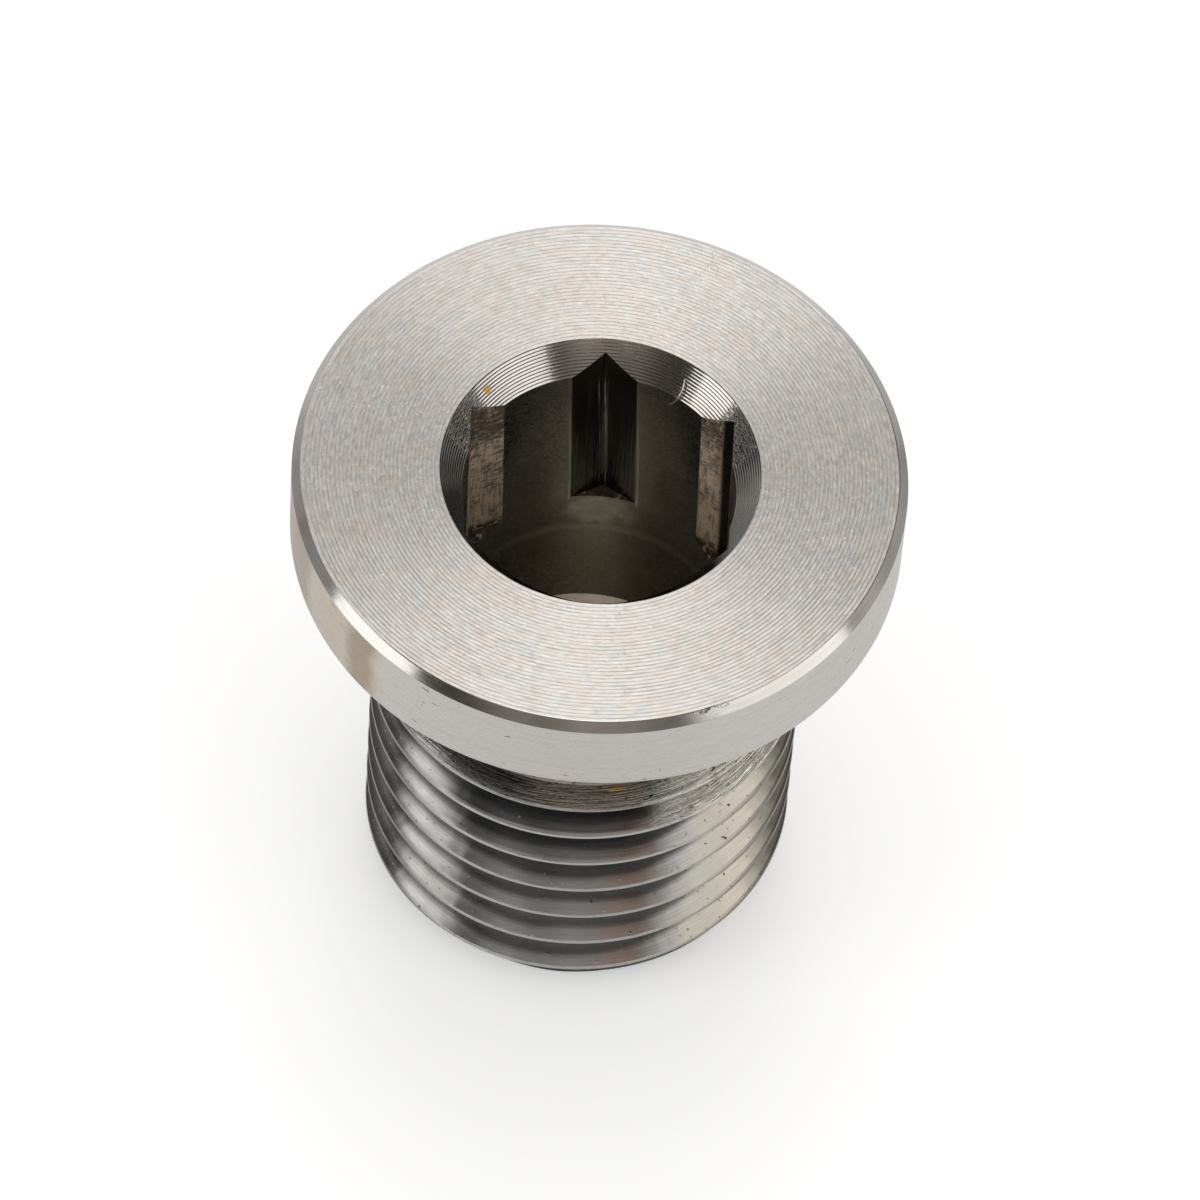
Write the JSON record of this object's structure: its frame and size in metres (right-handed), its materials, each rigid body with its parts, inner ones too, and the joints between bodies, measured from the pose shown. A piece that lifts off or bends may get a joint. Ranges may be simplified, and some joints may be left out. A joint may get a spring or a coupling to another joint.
{
  "type": "oil relief valve plug",
  "caption": "Round-headed screw plug with a broached hexagon socket in a countersunk blind bore, a thread relief under the head and a chamfered threaded end.",
  "frame": {"origin": "centre of the end face of the threaded shank, which the plug stands on", "axes": "+Z along the axis from the end face to the head's top face; one corner of the hexagon socket points to +Y"},
  "size_m": [0.0222, 0.0222, 0.0229],
  "materials": {
    "steel": "fine turned, bare"
  },
  "bodies": {
    "root": {"plug": "steel"}
  },
  "joints": []
}
